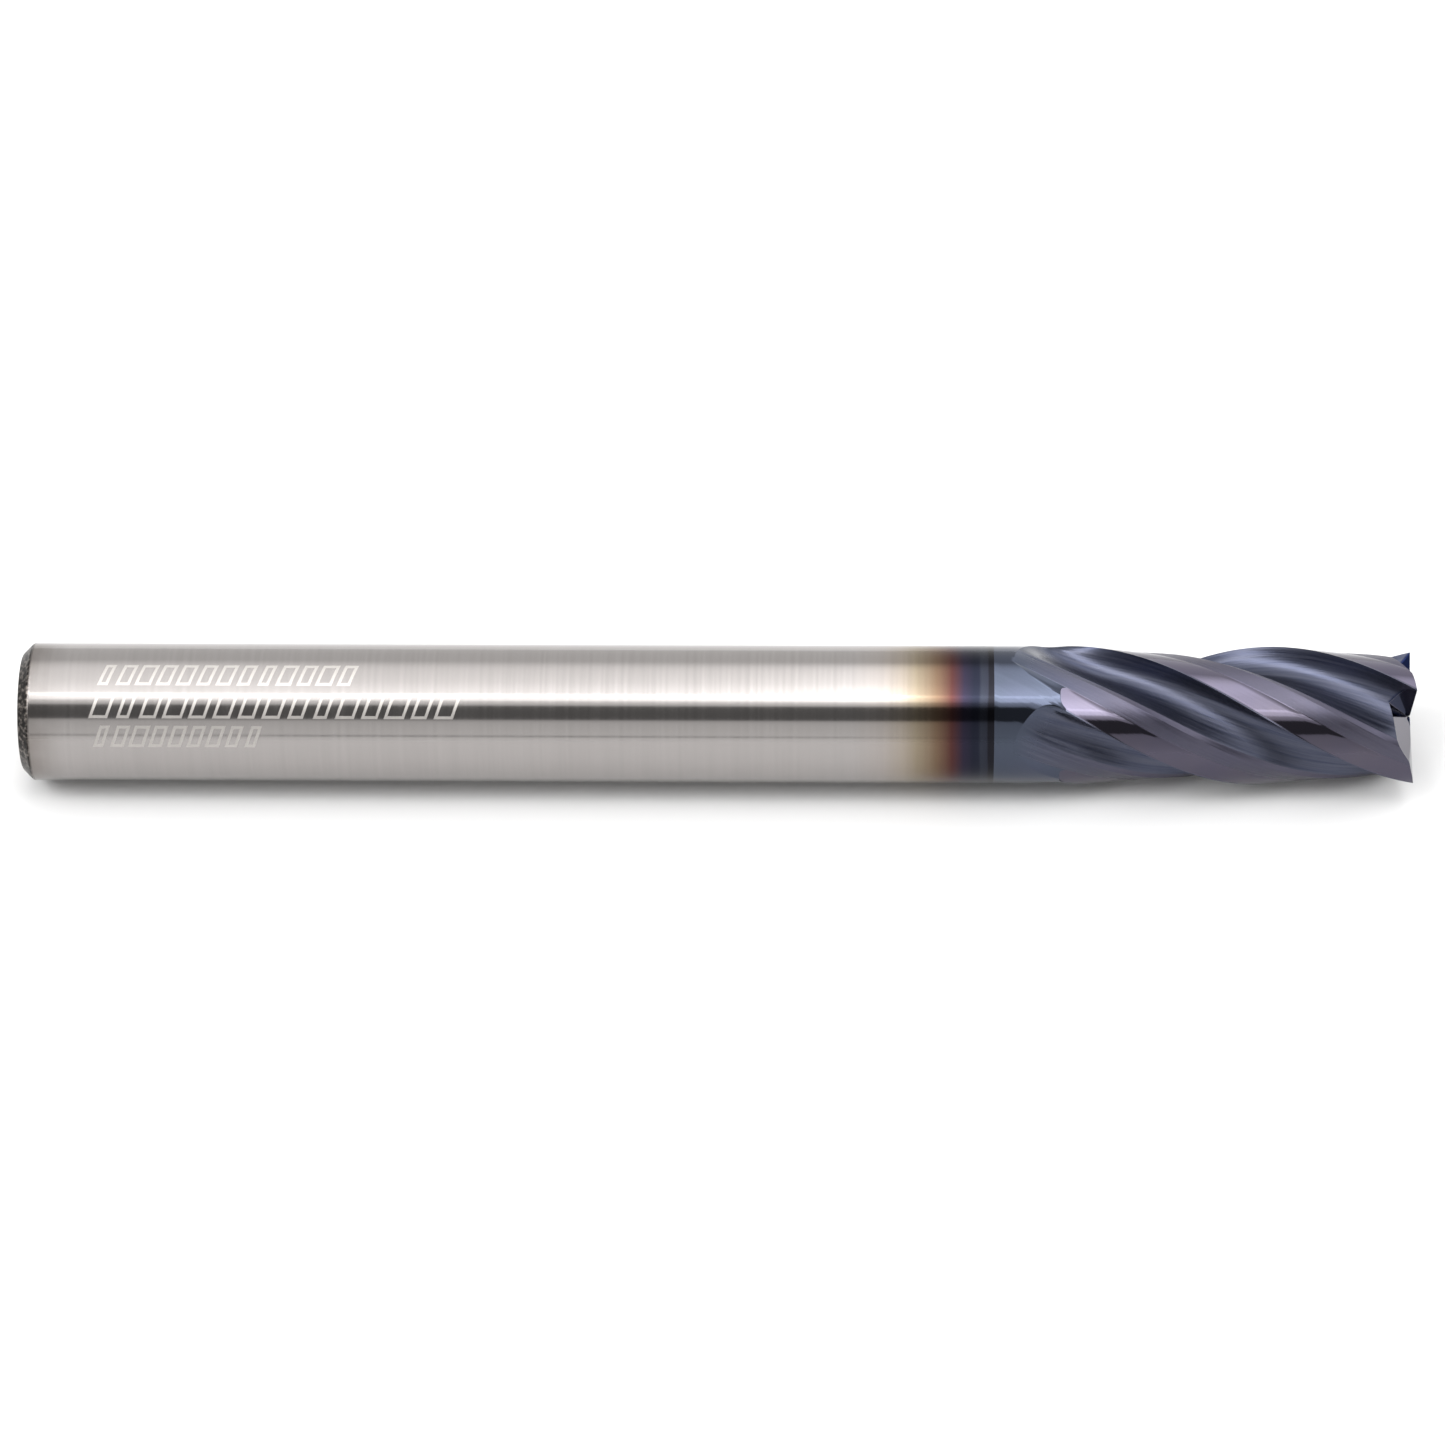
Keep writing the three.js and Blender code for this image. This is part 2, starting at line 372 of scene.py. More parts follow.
def column_starts(spacing, angle):
    """The flute's start falls back with the square root of the angle ahead of the edge, and the relief
    faces' start runs straight. A second line, which is where the primary relief is ground, crosses all
    the columns."""
    first = EDGE_START - RUN_BACK * np.sqrt(bar_angle(spacing, angle) / (spacing - HEEL_ROUND[0]))
    heel_start = EDGE_START - RUN_BACK
    between = SPACE_COLUMNS - FLUTE_COLUMNS - PRIMARY_COLUMNS
    first[FLUTE_COLUMNS:-PRIMARY_COLUMNS] = np.linspace(heel_start, SECONDARY_START, between)
    first[-PRIMARY_COLUMNS:] = np.linspace(SECONDARY_START, EDGE_START, PRIMARY_COLUMNS)
    second = np.full(angle.size, EDGE_START + ROUNDED_START)
    second[-PRIMARY_COLUMNS:] = EDGE_START + ROUNDED_START * np.linspace(-1, 1, PRIMARY_COLUMNS) ** 4
    return first, second


starts = [column_starts(spacing, angle) for spacing, (angle, _) in zip(SPACINGS, spaces)]
print(f"first flute ground at {(starts[0][0].min() - SHANK_BACK) / MM:.2f} mm from the back")

# %% [markdown]
# ## The end teeth
#
# The tip is ground like the sides: behind each end edge the face falls away in two reliefs, the edge
# itself is dished so that the corner cuts first, and a gash in front of it makes room for chips down to
# the middle. Each of these is a plane, so the height of the end above any point of the section is the
# lowest of a few planes. That is quicker and crisper here than cutting the bar with boolean solids.

# %% Work out the height of the end
DISH = math.tan(math.radians(1.8))
END_PRIMARY = (math.tan(math.radians(7)), 0.55 * MM)  # slope, and width behind the end edge
END_SECONDARY = math.tan(math.radians(12))
GASH_DROP = 0.20 * MM  # below the tip at the middle
GASH_SLOPE = 0.55  # deeper towards the outside
GASH_RISE = 0.20  # shallower towards the next tooth


def relief_height(across, along_edge):
    """The end face of a tooth: across is the distance behind its end edge, along_edge the distance
    outwards."""
    primary = END_PRIMARY[0] * np.clip(across, 0, END_PRIMARY[1])
    secondary = END_SECONDARY * np.clip(across - END_PRIMARY[1], 0, None)
    return TIP - DISH * (RADIUS - along_edge) - primary - secondary


def gash_height(ahead, along_edge):
    """The floor of the gash in front of an end edge."""
    fall = GASH_SLOPE * np.clip(along_edge, 0, None)
    rise = GASH_RISE * np.clip(ahead, 0, None)
    return TIP - GASH_DROP - fall + rise


def end_height(angle, radius, edge, next_edge):
    """Height of the end in one tooth space: the lower of the next tooth's relief and this edge's gash."""
    relief = relief_height(-radius * np.sin(angle - next_edge), radius * np.cos(angle - next_edge))
    gash = gash_height(radius * np.sin(angle - edge), radius * np.cos(angle - edge))
    return np.minimum(relief, gash)


# %% [markdown]
# ## The cutting end as one skin
#
# Now the columns are put together. Each one starts as plain cylinder at the coating's edge, meets its
# face where the wheel left the bar, winds forward along the helix and stops at the height of the end.
# From there the rows close in towards the middle of the tip. The rake face is special: its columns fan
# out into the flat wall between the end edge and the bottom of the gash.

# %% Work out the rows of the cutting end
NECK_ROWS = 6  # to where the flute is first ground
FADE_ROWS = 30  # from there to where the primary relief is ground
FLUTE_ROWS = 120  # from there to the rim of the end
END_ROWS = 44  # from the rim to the middle of the tip
STEP_SHARE = 0.001  # of the flute's length: the row at the foot of the primary relief's step
INNER_SHARE = 0.02  # how close to the middle the last row comes
RIM_ROUNDS = 8  # of finding where a column meets the end


def rim_places(angle, radius, edge, next_edge):
    """Where each column meets the end. The column turns as it goes, so its place is found in a few
    rounds."""
    place = np.full(angle.size, TIP)
    for _ in range(RIM_ROUNDS):
        turned_angle = edge + angle - TURN_PER_LENGTH * (TIP - place)
        place = end_height(turned_angle, radius, edge, next_edge)
    share = np.arange(WALL_COLUMNS) / WALL_COLUMNS
    place[:WALL_COLUMNS] = TIP + (place[WALL_COLUMNS] - TIP) * share
    return place


def side_rows(spacing, angle, radius, start, rim, edge):
    """Rows along the tool for one tooth space, as places, angles and radii. The depth ground away grows
    as 1 - (1 - t) squared, with t from nought to one over the run-out, like the arc that a wheel
    leaves."""
    first, second = start
    stretches = [
        (COATING_EDGE, first, np.linspace(0, 1, NECK_ROWS, endpoint=False)),
        (first, second, np.linspace(0, 1, FADE_ROWS, endpoint=False)),
        (second, rim, np.append(0, np.linspace(STEP_SHARE, 1, FLUTE_ROWS - 1))),
    ]
    place = np.vstack([low + (high - low) * share[:, None] for low, high, share in stretches])
    ground = 1 - (1 - np.clip((place - first) / run_out, 0, 1)) ** 2
    without_primary = RADIUS - (RADIUS - secondary_alone(spacing, angle, radius)) * ground
    primary = on_primary * np.clip((place - second) / PRIMARY_RUN_OUT, 0, 1)
    depth = without_primary + (np.minimum(radius, without_primary) - without_primary) * primary
    on_bar = bar_angle(spacing, angle)
    turned_angle = edge + on_bar + (angle - on_bar) * ground - TURN_PER_LENGTH * (TIP - place)
    return place, turned_angle, depth


def end_rows(angle, radius, edge, next_edge):
    """Rows from the rim to the middle for one tooth space, given the rim's angles and radii."""
    share = np.linspace(1, INNER_SHARE, END_ROWS + 1)[1:, None]
    ring = radius * share
    height = end_height(angle + 0 * share, ring, edge, next_edge)
    # The wall's columns share one flat face, from the end edge down to the floor of the gash.
    down = np.arange(WALL_COLUMNS) / WALL_COLUMNS
    top = relief_height(0 * share, ring[:, :1])
    floor = np.minimum(height[:, WALL_COLUMNS : WALL_COLUMNS + 1], top)
    height[:, :WALL_COLUMNS] = top + (floor - top) * down
    return height, angle + 0 * share, ring


def cutting_end_grid():
    """Places, angles and radii of the whole cutting end, with the four tooth spaces side by side."""
    parts = []
    for spacing, edge, start, (angle, radius) in zip(SPACINGS, edges, starts, spaces):
        rim = rim_places(angle, radius, edge, edge + spacing)
        place, turned_angle, depth = side_rows(spacing, angle, radius, start, rim, edge)
        end = end_rows(turned_angle[-1], depth[-1], edge, edge + spacing)
        parts.append([np.vstack(pair) for pair in zip((place, turned_angle, depth), end)])
    return [np.hstack(pieces) for pieces in zip(*parts)]


grid = cutting_end_grid()
print("rows and columns:", grid[0].shape)

# %% [markdown]
# ## Crisp lines along the teeth
#
# Smooth shading would round off the cutting edges and the fine step between the relief faces, whose
# angles are small. So the edges of the mesh along those columns are listed and marked as sharp. On the flat
# map of this piece a line along the helix is straight, as the marks of a grinding wheel are.

# %% Draw the cutting end
CREASES = [  # columns of a tooth space
    0,
    FLUTE_COLUMNS + FACE_COLUMNS["heel"],
    SPACE_COLUMNS - PRIMARY_COLUMNS - FACE_COLUMNS["step"],
    SPACE_COLUMNS - PRIMARY_COLUMNS,
]


def keep_crisp(mesh, column_count, creases, crease_row):
    """Marks the lengthwise edges along some columns as sharp, from a row on. Such an edge joins two
    points whose numbers are a whole row apart."""
    ends = np.zeros(2 * len(mesh.edges), dtype=int)
    mesh.edges.foreach_get("vertices", ends)
    low, high = np.sort(ends.reshape(-1, 2), axis=1).T
    first_pole = len(mesh.vertices) - 2
    crisp = np.zeros(len(mesh.edges), dtype=bool)
    mesh.edges.foreach_get("use_edge_sharp", crisp)
    lengthwise = (high - low == column_count) & (low >= crease_row * column_count) & (high < first_pole)
    mesh.edges.foreach_set("use_edge_sharp", crisp | (lengthwise & np.isin(low % column_count, creases)))


def make_cutting_end(place, angle, radius):
    rows = turned(place, radius, angle)
    back, front = (COATING_EDGE, 0, AXIS_HEIGHT), (TIP - GASH_DROP, 0, AXIS_HEIGHT)
    end = closed_skin("coated_cutting_end", rows, back, front)
    creases = np.array(CREASES) + SPACE_COLUMNS * np.arange(len(spaces))[:, None]
    keep_crisp(end.data, rows.shape[1], creases, NECK_ROWS + 1)
    section = rows[NECK_ROWS + FLUTE_ROWS // 2]
    steps = np.linalg.norm(np.roll(section, -1, axis=0) - section, axis=1)
    around = np.concatenate([[0], np.cumsum(steps)])
    along = (np.hstack([place, place[:, :1]]) - COATING_EDGE) / math.cos(HELIX_ANGLE)
    lay_flat_map(end, around + 0 * along, along)
    return end


cutting_end = make_cutting_end(*grid)

# %% [markdown]
# ## Which face a point is on
#
# The coating looks a little different on each kind of face, because it copies the surface that the wheel
# left underneath. So every point of the cutting end gets three numbers between nought and one: how far it
# is inside a flute or on a secondary relief, how far it is on a fine relief, and whether it is on the wall
# of a gash, which gets painted shade.
# They rise over a short ramp where a wheel left the bar. The faces of the end are all ground as finely as
# the primary relief.

# %% Mark the faces
FLUTE_RAMP = 1.2 * MM
STEP_RAMP = 0.02 * MM
TINT_DELAY, TINT_RAMP = 1.0 * MM, 4.0 * MM  # along the secondary relief, where its tint sets in
SECONDARY_TINT = 0.7


def mark_faces(end, place):
    first, second = (np.hstack(lines) for lines in zip(*starts))
    column = np.tile(np.arange(SPACE_COLUMNS), len(spaces))
    primary = np.tile(on_primary, len(spaces))
    secondary = (column >= FLUTE_COLUMNS) & ~primary
    in_flute = ~primary * np.clip((place - first) / FLUTE_RAMP, 0, 1)
    on_relief = primary * np.clip((place - second) / STEP_RAMP, 0, 1)
    on_relief += secondary * SECONDARY_TINT * np.clip((place - first - TINT_DELAY) / TINT_RAMP, 0, 1)
    in_flute[-END_ROWS:] = 0
    on_relief[-END_ROWS:] = 1
    # The walls of the gashes are marked for a dark painted shade.
    painted_gash_shade = np.zeros(place.shape)
    painted_gash_shade[-END_ROWS - 1 :] = column < WALL_COLUMNS
    for name, values in (("in_flute", in_flute), ("on_relief", on_relief), ("painted_gash_shade", painted_gash_shade)):
        set_point_value(end, name, values)
        print(f"{name}: {np.count_nonzero(values)} of {values.size} points")


mark_faces(cutting_end, grid[0])

# %% [markdown]
# ## Building a finish
#
# A finish is a tree of nodes. One function adds a node: its settings are the node's own properties, and
# its inputs are either plain values or the outputs of other nodes. Colours are written as hex codes, as a
# paint chart gives them, and a second function turns them into the linear numbers that light adds up in.

# %% Add nodes and colours
def linear(code):
    """The linear red, green and blue, with full opacity, of a hex code such as #C0BBB9."""
    parts = [int(code[i : i + 2], 16) / 255 for i in (1, 3, 5)]
    return [part / 12.92 if part <= 0.04045 else ((part + 0.055) / 1.055) ** 2.4 for part in parts] + [1]


def add(tree, kind, inputs, stops=(), **settings):
    """Adds a node. Stops are (place, hex code or plain brightness) pairs for a node that holds a colour
    ramp."""
    made = tree.nodes.new("ShaderNode" + kind)
    for name, value in settings.items():
        setattr(made, name, value)
    for socket, value in inputs.items():
        if isinstance(value, bpy.types.NodeSocket):
            tree.links.new(value, made.inputs[socket])
        else:
            made.inputs[socket].default_value = value
    for i, (place, colour) in enumerate(stops):
        stop = made.color_ramp.elements[i] if i < 2 else made.color_ramp.elements.new(place)
        stop.position = place
        stop.color = linear(colour) if isinstance(colour, str) else (colour, colour, colour, 1)
    return made.outputs


def new_finish(name):
    """An empty material with its own node tree."""
    finish = bpy.data.materials.new(name)
    finish.use_nodes = True
    finish.node_tree.nodes.clear()
    return finish, finish.node_tree


print("half grey in linear light:", round(linear("#808080")[0], 3))

# %% [markdown]
# ## The coating's fading edge
#
# The coating grows from a vapour in a vacuum chamber, with the tip towards the source. Where the holder
# shades the shank, the film gets thinner and thinner. Thin films show interference colours, so behind a
# crisp dark ring the full coating turns blue, purple, brown and straw over a few millimetres before the
# bare metal shows. The dark ring at the coating's edge is painted shade: it stands in for a fine step there
# that turns away from the light. A colour ramp along the shank gives these, and a slow noise puts its bands
# a little out of true.

# %% Set out the fade
FADE_LENGTH = 6.5  # mm of shank over which the coating thins out
FADE = [  # mm behind the coating's edge, and the colour there
    # The first band, from 0 to 0.26 mm, is painted shade for the fine step at the coating's edge.
    (0.00, "#1F1F24"),
    (0.26, "#1F1F24"),
    (0.32, "#2B2D36"),
    (0.60, "#2C2F38"),
    (0.72, "#21232E"),
    (0.94, "#21232E"),
    (1.39, "#2B2735"),
    (1.94, "#4A2E2C"),
    (2.62, "#695646"),
    (3.54, "#857A69"),
    (4.22, "#958C82"),
    (5.13, "#9A9490"),
    (6.50, "#9C9896"),
]
FADE_WANDERS = 0.12  # mm that the bands may be out of true


def add_fade(tree, along, patches):
    """The metal's colour, from the distance along the shank in mm."""
    length = (COATING_EDGE - SHANK_BACK) / MM
    behind = add(tree, "Math", {0: length, 1: along}, operation="SUBTRACT")[0]
    uneven = add(tree, "MapRange", {0: patches, 3: -FADE_WANDERS, 4: FADE_WANDERS})[0]
    wandering = add(tree, "Math", {0: behind, 1: uneven}, operation="ADD")[0]
    share = add(tree, "Math", {0: wandering, 1: FADE_LENGTH}, operation="DIVIDE")[0]
    stops = [(mm / FADE_LENGTH, code) for mm, code in FADE]
    return add(tree, "ValToRGB", {0: share}, stops=stops)["Color"]


print(f"{len(FADE)} colours over {FADE_LENGTH} mm")

# %% [markdown]
# ## The marking
#
# The maker's marking is left out. Rows of plain hollow blocks stand in its place, with the same frosted
# look that a marking laser leaves. A block's outline is found the way a plotter would check it: the
# distance outside the block is the greater of the distances past its sides and past its ends, and the
# stroke is where that distance is within half a stroke of nought. White noise gives each block its own
# width.

# %% Set out the marking
STROKE = 0.14  # mm, the width of a marking laser's line
STROKE_EDGE = 0.02  # mm over which the line's edge fades
MARK_SLANT = 0.35  # how far a block leans along the shank for each mm of its height
BLOCK_HALF = (0.26, 0.42)  # the least and greatest half width of a block, as shares of the pitch
MARK_ROWS = [  # the row's middle in degrees, its height and pitch in mm, and its first and last block
    (100.5, 1.10, 0.92, 4, 16),
    (128.5, 1.10, 1.13, 3, 17),
    (154.0, 1.05, 0.87, 4, 12),
]


def add_mark_row(tree, around, along, middle, height, pitch, first_block, last_block):
    """One where a row of blocks has its strokes, nought elsewhere."""
    middle_mm = math.radians(middle) * RADIUS / MM
    off = add(tree, "Math", {0: around, 1: middle_mm}, operation="SUBTRACT")[0]
    leaning = add(tree, "Math", {0: off, 1: MARK_SLANT, 2: along}, operation="MULTIPLY_ADD")[0]
    off = add(tree, "Math", {0: off}, operation="ABSOLUTE")[0]
    past_side = add(tree, "Math", {0: off, 1: height / 2}, operation="SUBTRACT")[0]
    count = add(tree, "Math", {0: leaning, 1: pitch}, operation="DIVIDE")[0]
    block = add(tree, "Math", {0: count}, operation="FLOOR")[0]
    chance = add(tree, "TexWhiteNoise", {"W": block}, noise_dimensions="1D")["Value"]
    half = add(tree, "MapRange", {0: chance, 3: BLOCK_HALF[0] * pitch, 4: BLOCK_HALF[1] * pitch})[0]
    phase = add(tree, "Math", {0: count}, operation="FRACT")[0]
    from_middle = add(tree, "Math", {0: phase, 1: pitch, 2: -pitch / 2}, operation="MULTIPLY_ADD")[0]
    from_middle = add(tree, "Math", {0: from_middle}, operation="ABSOLUTE")[0]
    past_end = add(tree, "Math", {0: from_middle, 1: half}, operation="SUBTRACT")[0]
    outside = add(tree, "Math", {0: past_side, 1: past_end}, operation="MAXIMUM")[0]
    outside = add(tree, "Math", {0: outside, 1: STROKE / 2}, operation="ADD")[0]
    outside = add(tree, "Math", {0: outside}, operation="ABSOLUTE")[0]
    edge = {1: STROKE / 2 + STROKE_EDGE, 2: STROKE / 2 - STROKE_EDGE}
    stroke = add(tree, "MapRange", {0: outside, **edge})[0]
    after = add(tree, "Math", {0: block, 1: first_block - 0.5}, operation="GREATER_THAN")[0]
    before = add(tree, "Math", {0: block, 1: last_block + 0.5}, operation="LESS_THAN")[0]
    stroke = add(tree, "Math", {0: stroke, 1: after}, operation="MULTIPLY")[0]
    return add(tree, "Math", {0: stroke, 1: before}, operation="MULTIPLY")[0]


print(f"{sum(last - first + 1 for *_, first, last in MARK_ROWS)} blocks in {len(MARK_ROWS)} rows")

# %% [markdown]
# ## Bare ground carbide
#
# Cemented carbide is grains of tungsten carbide in cobalt. Ground, it is a slightly warm grey metal that
# reflects about half of the light. A grinding wheel turns against the turning bar, so its marks are fine
# rings round the tool, which make the reflections faintly streaky. The chamfer is only roughly ground, so
# it is dark and gritty, and handling has stained the barrel beside it. The back face is ground dull.

# %% Make the bare ground carbide
RING_SCALE = (5000, 120, 120)  # noise cells a metre: rings 0.2 mm apart, drawn coarse so that they show
PATCH_SCALE = 260  # a slow unevenness over some mm
GRIT_SCALE = 5200  # grit about 0.2 mm across, drawn coarse as well
FROSTED = 0.62  # how much of the marking's line is frosted
CHAMFER_EDGE = (0.62, 0.5)  # mm from the back, where the chamfer's look sets in
STAIN_EDGE = (2.2, 0.5)  # the same for the stain on the barrel
BACK_EDGE = (0.04, 0.0)  # and for the back face


def make_ground_carbide():
    finish, tree = new_finish("cemented carbide, ground bare")
    place = add(tree, "SeparateXYZ", {0: add(tree, "UVMap", {}, uv_map="millimetres")["UV"]})
    around, along = place["X"], place["Y"]
    solid = add(tree, "TexCoord", {})["Object"]
    stretched = add(tree, "Mapping", {"Vector": solid, "Scale": RING_SCALE})["Vector"]
    rings = add(tree, "TexNoise", {"Vector": stretched, "Scale": 1, "Detail": 3})["Fac"]
    patches = add(tree, "TexNoise", {"Vector": solid, "Scale": PATCH_SCALE, "Detail": 4})["Fac"]
    grit = add(tree, "TexNoise", {"Vector": solid, "Scale": GRIT_SCALE, "Detail": 4})["Fac"]

    # How far a point is on the marking, on the chamfer, in the stain beside it and on the back face.
    strokes = 0.0
    for row in MARK_ROWS:
        in_row = add_mark_row(tree, around, along, *row)
        strokes = add(tree, "Math", {0: strokes, 1: in_row}, operation="MAXIMUM")[0]
    frosted = add(tree, "Math", {0: strokes, 1: FROSTED}, operation="MULTIPLY")[0]
    on_chamfer, beside_it, on_back = (
        add(tree, "MapRange", {0: along, 1: far, 2: near})[0]
        for far, near in (CHAMFER_EDGE, STAIN_EDGE, BACK_EDGE)
    )
    rubbed = add(tree, "MapRange", {0: patches, 1: 0.35, 2: 0.65, 3: 0.1, 4: 0.6})[0]
    stained = add(tree, "Math", {0: beside_it, 1: rubbed}, operation="MULTIPLY")[0]

    # The colour, one layer over the next.
    streak = add(tree, "MapRange", {0: rings, 1: 0.3, 2: 0.7, 3: 0.965, 4: 1.025})[0]
    film = add_fade(tree, along, patches)
    colour = add(tree, "VectorMath", {0: film, "Scale": streak}, operation="SCALE")[0]
    scuffs = [(0.36, "#151312"), (0.5, "#2C2927"), (0.66, "#6A645F")]
    scuffed = add(tree, "ValToRGB", {0: grit}, stops=scuffs)["Color"]
    for share, layer in (
        (frosted, linear("#B8B4AF")),
        (stained, linear("#54493F")),
        (on_chamfer, scuffed),
        (on_back, linear("#86817C")),
    ):
        colour = add(tree, "Mix", {"Factor": share, 6: colour, 7: layer}, data_type="RGBA")[2]

    rough = add(tree, "MapRange", {0: rings, 1: 0.3, 2: 0.7, 3: 0.11, 4: 0.15})[0]
    rough = add(tree, "Mix", {"Factor": frosted, 2: rough, 3: 0.6})[0]
    rough = add(tree, "Mix", {"Factor": on_chamfer, 2: rough, 3: 0.38})[0]
    height = add(tree, "Math", {0: grit, 1: on_chamfer}, operation="MULTIPLY")[0]
    bump = add(tree, "Bump", {"Height": height, "Strength": 0.5, "Distance": 0.03 * MM})[0]
    shader = add(tree, "BsdfPrincipled", {
        "Base Color": colour,
        "Metallic": 1.0,
        "Roughness": rough,
        "Normal": bump,
    })
    add(tree, "OutputMaterial", {"Surface": shader[0]})
    return finish


ground_carbide = make_ground_carbide()
shank.data.materials.append(ground_carbide)
print(f"{ground_carbide.name}: {len(ground_carbide.node_tree.nodes)} nodes")

# %% [markdown]
# ## Coated carbide
#
# The cutting end wears a hard nitride coating about three micrometres thick. It is a dark metal,
# blue-grey on the plain neck and in the flutes and more purple on the reliefs. It follows the ground
# surface underneath, so the neck and the primary reliefs are nearly mirrors, while the flutes and
# secondary reliefs keep the long scratches of the wheel that cut them, which blur reflections into
# streaks. The walls of the gashes get a near-black blue, which is painted shade for the shade that falls in
# them.

# %% Make the coated carbide
SCRATCH_SCALE = (5, 0.16, 1)  # noise cells a mm across and along the helix: drawn coarse so that they show
CLOUD_SCALE = 420  # cells a metre, for a slow change of tint over 2 mm
MIRROR_ROUGHNESS = 0.07


def make_coated_carbide():
    finish, tree = new_finish("cemented carbide, vapour coated")
    flat = add(tree, "UVMap", {}, uv_map="millimetres")["UV"]
    in_flute, on_relief, painted_gash_shade = (
        add(tree, "Attribute", {}, attribute_name=name)["Fac"]
        for name in ("in_flute", "on_relief", "painted_gash_shade")
    )
    stretched = add(tree, "Mapping", {"Vector": flat, "Scale": SCRATCH_SCALE})["Vector"]
    noise = {"Vector": stretched, "Scale": 1, "Detail": 5, "Roughness": 0.65}
    scratches = add(tree, "TexNoise", noise)["Fac"]
    solid = add(tree, "TexCoord", {})["Object"]
    clouds = add(tree, "TexNoise", {"Vector": solid, "Scale": CLOUD_SCALE, "Detail": 3})["Fac"]

    plain = add(tree, "ValToRGB", {0: clouds}, stops=[(0.3, "#424854"), (0.7, "#464A59")])["Color"]
    flute = add(tree, "ValToRGB", {0: scratches}, stops=[(0.3, "#393D4D"), (0.7, "#555764")])["Color"]
    relief = add(tree, "ValToRGB", {0: clouds}, stops=[(0.3, "#524E59"), (0.7, "#4D4A58")])["Color"]
    colour = plain
    # The last layer is painted shade: the walls of the gashes are coloured near-black blue.
    for share, layer in ((in_flute, flute), (on_relief, relief), (painted_gash_shade, linear("#141B36"))):
        colour = add(tree, "Mix", {"Factor": share, 6: colour, 7: layer}, data_type="RGBA")[2]

    scratched = add(tree, "MapRange", {0: scratches, 1: 0.3, 2: 0.7, 3: 0.28, 4: 0.46})[0]
    rough = add(tree, "Mix", {"Factor": in_flute, 2: MIRROR_ROUGHNESS, 3: scratched})[0]
    depth = add(tree, "MapRange", {0: in_flute, 3: 0.08, 4: 1.0})[0]
    height = add(tree, "Math", {0: scratches, 1: depth}, operation="MULTIPLY")[0]
    bump = add(tree, "Bump", {"Height": height, "Strength": 0.8, "Distance": 0.02 * MM})[0]
    shader = add(tree, "BsdfPrincipled", {
        "Base Color": colour,
        "Metallic": 1.0,
        "Roughness": rough,
        "Normal": bump,
    })
    add(tree, "OutputMaterial", {"Surface": shader[0]})
    return finish


coated_carbide = make_coated_carbide()
cutting_end.data.materials.append(coated_carbide)
print(f"{coated_carbide.name}: {len(coated_carbide.node_tree.nodes)} nodes")

# %% [markdown]
# ## The paper
#
# The tool lies on pale uncoated paper, which scatters light evenly and takes a soft shadow where the tool
# touches it. A single flat face is enough, because its edges are metres away.

# %% Lay the paper
PAPER_HALF = 2.0


def make_paper():
    mesh = bpy.data.meshes.new("paper")
    corners = [(-1, -1), (1, -1), (1, 1), (-1, 1)]
    mesh.from_pydata([(x * PAPER_HALF, y * PAPER_HALF, 0) for x, y in corners], [], [(0, 1, 2, 3)])
    paper = bpy.data.objects.new("paper", mesh)
    bpy.context.scene.collection.objects.link(paper)
    finish, tree = new_finish("paper, uncoated")
    shader = add(tree, "BsdfPrincipled", {"Base Color": linear("#CCCCCC"), "Roughness": 0.9})
    add(tree, "OutputMaterial", {"Surface": shader[0]})
    mesh.materials.append(finish)
    return paper


print(f"{make_paper().name}: {2 * PAPER_HALF:.0f} m square")

# %% [markdown]
# ## The studio
#
# Polished metal shows nothing but its surroundings, so the light is most of the picture. The tool lies in
# a white tent. A wide softbox hangs above it, brightest a little to the right, and finishes in two bright
# tubes. A key lamp stands on the left and a window is behind, to the right. A black flag behind the
# camera draws the dark line along the barrel that makes it read as round, and a thin shade low in front
# draws a fainter one.
#
# All of these are far away next to a tool 64 mm long, so they are painted on the dome of the world
# instead of hung as lamps. A direction on the dome has a height, in degrees from straight behind the tool
# (0) over the top (90) to straight in front (180), and a sideways slope towards the tip. Each light is a
# brightness over the height. All but the tent and the tubes also have a gain over the slope.

# %% Place the lights
ROOM = [
    (0, 0.75), (119.5, 0.75), (121.5, 0.13), (143.5, 0.13), (145.5, 0.62), (150, 0.72), (165, 0.80),
    (180, 0.95),
]
TUBES = [(101, 0), (101.7, 1.6), (105.3, 1.6), (106, 0), (107, 0.6), (112, 0.6), (113, 0)]
SHADE = [(170.8, 0), (171.6, 0.5), (173.4, 0.5), (174.2, 0)]
SHADE_GAIN = [(-0.20, 0), (-0.15, 1), (0.004, 1), (0.012, 0)]
SOFTBOX = [
    (36, 0), (48, 0.40), (56, 0.55), (80, 0.75), (98, 1.10), (106, 1.0), (112, 0.8), (113, 0.4), (121, 0),
]
SOFTBOX_GAIN = [
    (-0.35, 0.4), (-0.15, 1.0), (0.0, 1.0), (0.018, 3.2), (0.12, 3.2), (0.20, 4.8), (0.242, 4.8),
    (0.254, 2.0), (0.275, 2.0), (0.31, 0.4),
]
KEY_LAMP = [(88, 0), (98, 4.6), (124, 4.6), (132, 1.0), (138, 0)]
KEY_LAMP_GAIN = [(-1.95, 0), (-1.90, 1), (-0.40, 1), (-0.28, 0)]
WINDOW = [(0, 1.0), (34, 1.0), (46, 0)]
WINDOW_GAIN = [(0.04, 0), (0.10, 0.6), (0.28, 0.5), (0.36, 1), (1.2, 1), (1.4, 0)]
RAMP_TOP = 6.0  # the brightness that a ramp's full white stands for
SLOPES = (-2.0, 2.0)  # the slopes at the two ends of a gain's ramp
EXPOSURE = 1.4
brightest = max(light for _, light in SOFTBOX) * max(gain for _, gain in SOFTBOX_GAIN)
print(f"at its brightest the softbox gives {brightest / ROOM[0][1]:.0f} times the tent's light")

# %% [markdown]
# ## The dome
#
# The world's Generated coordinates are the direction that a ray leaves in. Its height is the arctangent
# of Z over Y and its slope is X over the distance from the tool's axis. The shade takes light away and
# the others add it.

